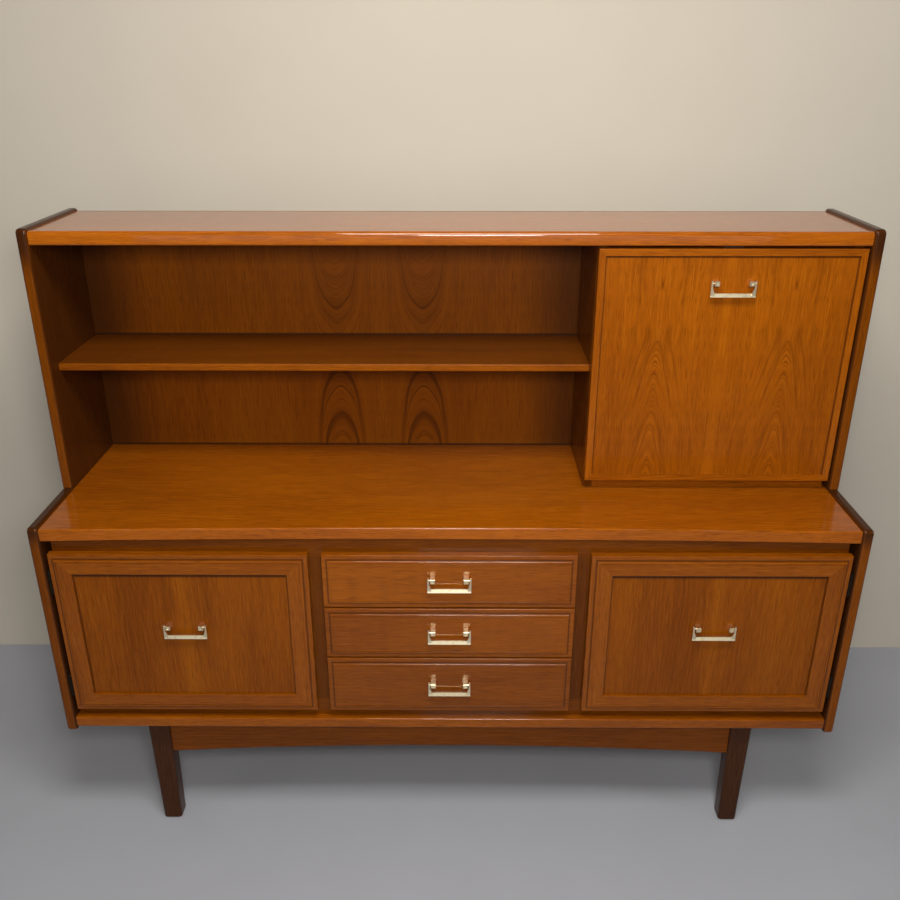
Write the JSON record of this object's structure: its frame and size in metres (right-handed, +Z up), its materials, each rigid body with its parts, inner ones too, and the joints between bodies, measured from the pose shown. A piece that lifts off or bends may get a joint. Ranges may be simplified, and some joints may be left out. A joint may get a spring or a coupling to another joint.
{
  "type": "credenza with hutch",
  "caption": "Low sideboard with framed doors and drawers on a tapered leg frame, under an open hutch with a drop-front cabinet; brass bail pulls.",
  "frame": {"origin": "on the floor, under the middle of the whole, pulls included", "axes": "+X to the right as seen from the front, +Y to the back, +Z up"},
  "size_m": [1.532, 0.4256, 1.227],
  "materials": {
    "show_wood": "gloss lacquer",
    "leg_wood": "dark gloss lacquer",
    "inner_wood": "thin lacquer",
    "pull_brass": "polished",
    "hinge_bronze": "aged",
    "catch_steel": "satin"
  },
  "bodies": {
    "carcass": {"base_back": "inner_wood", "base_floor": "show_wood", "base_side_left": "show_wood", "base_side_right": "show_wood", "base_top": "show_wood", "bay_shelf": "show_wood", "cabinet_bearers": "inner_wood", "cabinet_floor": "show_wood", "cabinet_shelf": "show_wood", "cabinet_side": "show_wood", "carcass_end_left": "show_wood", "carcass_end_right": "show_wood", "catches": "catch_steel", "cupboard_shelves": "show_wood", "drawer_runners": "inner_wood", "frame_rails": "leg_wood", "front_apron": "show_wood", "front_rails": "show_wood", "front_stiles": "show_wood", "hinge_plates": "hinge_bronze", "hutch_back": "inner_wood", "hutch_partition": "show_wood", "hutch_side_left": "show_wood", "hutch_side_right": "show_wood", "hutch_top": "show_wood", "legs": "leg_wood", "partition_left": "show_wood", "partition_right": "show_wood", "shelf_bearers": "inner_wood", "spacer_strips": "inner_wood", "stay_stud": "hinge_bronze"},
    "left_door": {"left_door_frame": "show_wood", "left_door_panel": "show_wood", "left_door_fittings": "hinge_bronze", "left_door_posts": "pull_brass"},
    "right_door": {"right_door_frame": "show_wood", "right_door_panel": "show_wood", "right_door_fittings": "hinge_bronze", "right_door_posts": "pull_brass"},
    "flap": {"flap_frame": "show_wood", "flap_panel": "show_wood", "flap_fittings": "hinge_bronze", "flap_posts": "pull_brass"},
    "flap_stay": {"flap_stay": "hinge_bronze"},
    "top_drawer": {"top_drawer_front": "show_wood", "top_drawer_box": "inner_wood", "top_drawer_posts": "pull_brass"},
    "middle_drawer": {"middle_drawer_front": "show_wood", "middle_drawer_box": "inner_wood", "middle_drawer_posts": "pull_brass"},
    "bottom_drawer": {"bottom_drawer_front": "show_wood", "bottom_drawer_box": "inner_wood", "bottom_drawer_posts": "pull_brass"},
    "left_door_bail": {"left_door_bail": "pull_brass"},
    "right_door_bail": {"right_door_bail": "pull_brass"},
    "flap_bail": {"flap_bail": "pull_brass"},
    "top_drawer_bail": {"top_drawer_bail": "pull_brass"},
    "middle_drawer_bail": {"middle_drawer_bail": "pull_brass"},
    "bottom_drawer_bail": {"bottom_drawer_bail": "pull_brass"}
  },
  "joints": [
    {"name": "left_door_hinge", "type": "hinge", "parent": "carcass", "child": "left_door", "pos_m": [-0.7425, -0.19125, 0.49075], "axis": [0, 0, -1], "range_deg": [0, 100]},
    {"name": "right_door_hinge", "type": "hinge", "parent": "carcass", "child": "right_door", "pos_m": [0.7425, -0.19125, 0.49075], "axis": [0, 0, 1], "range_deg": [0, 100]},
    {"name": "flap_hinge", "type": "hinge", "parent": "carcass", "child": "flap", "pos_m": [0.50375, -0.00325, 0.7385], "axis": [1, 0, 0], "range_deg": [0, 90]},
    {"name": "flap_stay_pivot", "type": "hinge", "parent": "flap", "child": "flap_stay", "pos_m": [0.7165, 0.01191, 0.8424], "axis": [-1, 0, 0], "range_deg": [0, 45]},
    {"name": "top_drawer_slide", "type": "slide", "parent": "carcass", "child": "top_drawer", "axis": [0, -1, 0], "range_m": [0, 0.3]},
    {"name": "middle_drawer_slide", "type": "slide", "parent": "carcass", "child": "middle_drawer", "axis": [0, -1, 0], "range_m": [0, 0.3]},
    {"name": "bottom_drawer_slide", "type": "slide", "parent": "carcass", "child": "bottom_drawer", "axis": [0, -1, 0], "range_m": [0, 0.3]},
    {"name": "left_door_bail_pivot", "type": "hinge", "parent": "left_door", "child": "left_door_bail", "pos_m": [-0.49985, -0.20175, 0.51575], "axis": [-1, 0, 0], "range_deg": [0, 90]},
    {"name": "right_door_bail_pivot", "type": "hinge", "parent": "right_door", "child": "right_door_bail", "pos_m": [0.49985, -0.20175, 0.51575], "axis": [-1, 0, 0], "range_deg": [0, 90]},
    {"name": "flap_bail_pivot", "type": "hinge", "parent": "flap", "child": "flap_bail", "pos_m": [0.50825, -0.02875, 1.1325], "axis": [-1, 0, 0], "range_deg": [0, 90]},
    {"name": "top_drawer_bail_pivot", "type": "hinge", "parent": "top_drawer", "child": "top_drawer_bail", "pos_m": [0, -0.20675, 0.6225], "axis": [-1, 0, 0], "range_deg": [0, 90]},
    {"name": "middle_drawer_bail_pivot", "type": "hinge", "parent": "middle_drawer", "child": "middle_drawer_bail", "pos_m": [0, -0.20675, 0.5085], "axis": [-1, 0, 0], "range_deg": [0, 90]},
    {"name": "bottom_drawer_bail_pivot", "type": "hinge", "parent": "bottom_drawer", "child": "bottom_drawer_bail", "pos_m": [0, -0.20675, 0.38775], "axis": [-1, 0, 0], "range_deg": [0, 90]}
  ],
  "couplings": [
    {"joint": "flap_stay_pivot", "follows": "flap_hinge", "ratio": 0.5}
  ]
}
